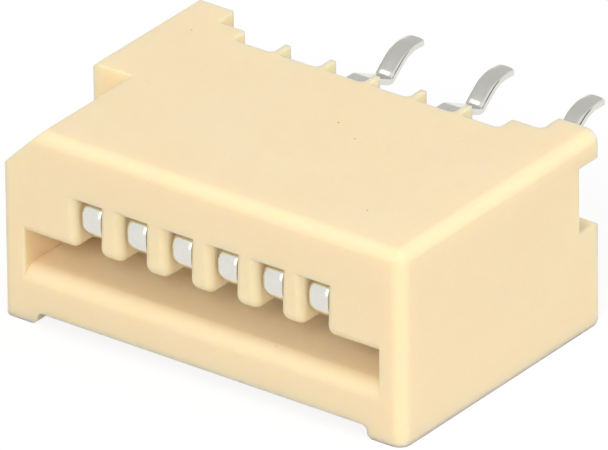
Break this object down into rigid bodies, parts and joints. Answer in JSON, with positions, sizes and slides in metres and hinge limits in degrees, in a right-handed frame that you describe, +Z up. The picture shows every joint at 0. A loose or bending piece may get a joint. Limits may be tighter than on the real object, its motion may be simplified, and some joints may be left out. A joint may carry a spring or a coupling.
{
  "type": "flat cable connector",
  "caption": "Moulded flat cable connector with a cable slot in its front, sprung contacts behind comb windows, and two staggered rows of kinked solder tails.",
  "frame": {"origin": "on the surface that the rails lie on, under the middle of the part's box", "axes": "+X along the row of contacts, away from the bevelled end; +Y from the cable slot to the board; +Z up from the rails to the top wall"},
  "size_m": [0.011, 0.0106, 0.0048],
  "materials": {
    "housing_plastic": "satin",
    "contact_metal": "satin tin plate"
  },
  "bodies": {
    "root": {"housing": "housing_plastic", "contact_1": "contact_metal", "contact_2": "contact_metal", "contact_3": "contact_metal", "contact_4": "contact_metal", "contact_5": "contact_metal", "contact_6": "contact_metal"}
  },
  "joints": []
}
